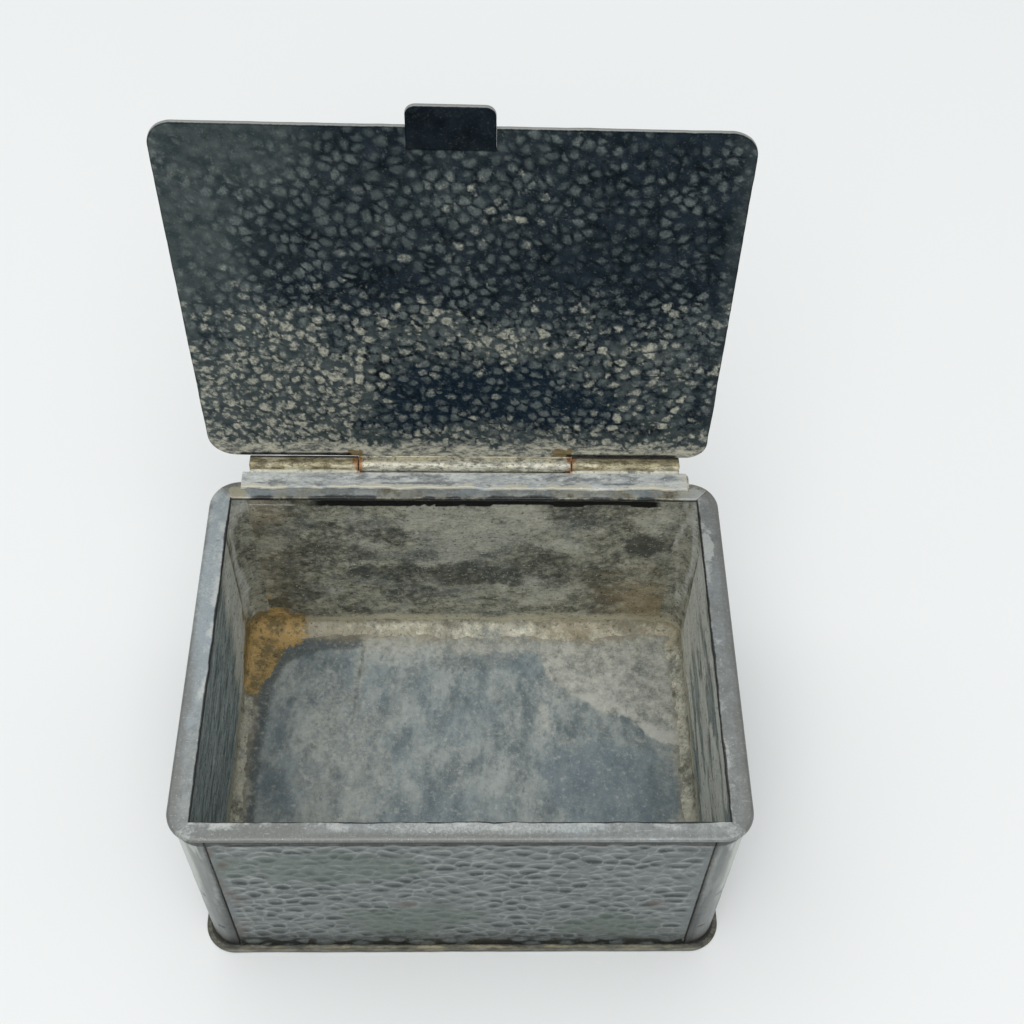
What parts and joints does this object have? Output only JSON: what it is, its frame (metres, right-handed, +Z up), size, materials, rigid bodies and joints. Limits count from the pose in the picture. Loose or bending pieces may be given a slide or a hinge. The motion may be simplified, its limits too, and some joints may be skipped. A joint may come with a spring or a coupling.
{
  "type": "hinged box",
  "caption": "Hand-hammered pewter box with a hinged lid, thumb tab, folded rim, smooth corner strips and a projecting base plate, shown open.",
  "frame": {"origin": "under the centre of the four walls, on the base plate's underside", "axes": "+Z up, -Y towards the front with the thumb tab's side when the lid is closed, +X to the right as seen from the front"},
  "size_m": [0.1216, 0.1039, 0.1637],
  "materials": {
    "hammered_pewter": "planished, dark patina, soft sheen",
    "smooth_pewter": "smooth, worn sheen",
    "rim_pewter": "smooth, dulled, with pale specks",
    "base_pewter": "satin outside, mottled inside",
    "lid_pewter": "hammered, black patina with pale corrosion",
    "hinge_leaf_metal": "dull, flecked",
    "hinge_tube_metal": "corroded cream, with rust at the joints",
    "solder": "dull, rough",
    "pin_iron": "rusty"
  },
  "bodies": {
    "box": {"base_plate": "base_pewter", "front_panel": "hammered_pewter", "back_panel": "hammered_pewter", "left_panel": "hammered_pewter", "right_panel": "hammered_pewter", "corner_front_left": "smooth_pewter", "corner_front_right": "smooth_pewter", "corner_back_left": "smooth_pewter", "corner_back_right": "smooth_pewter", "rim_front": "rim_pewter", "rim_back": "rim_pewter", "rim_left": "rim_pewter", "rim_right": "rim_pewter", "floor_solder": "solder", "hinge_leaf": "hinge_leaf_metal", "knuckle_left": "hinge_tube_metal", "knuckle_right": "hinge_tube_metal", "hinge_pin": "pin_iron", "leaf_solder": "solder"},
    "lid": {"lid_plate": "lid_pewter", "thumb_tab": "lid_pewter", "knuckle_center": "hinge_tube_metal", "lid_solder": "solder"}
  },
  "joints": [
    {"name": "lid_hinge", "type": "hinge", "parent": "box", "child": "lid", "pos_m": [0, 0.0498, 0.0637], "axis": [1, 0, 0], "range_deg": [0, 93.9]}
  ]
}
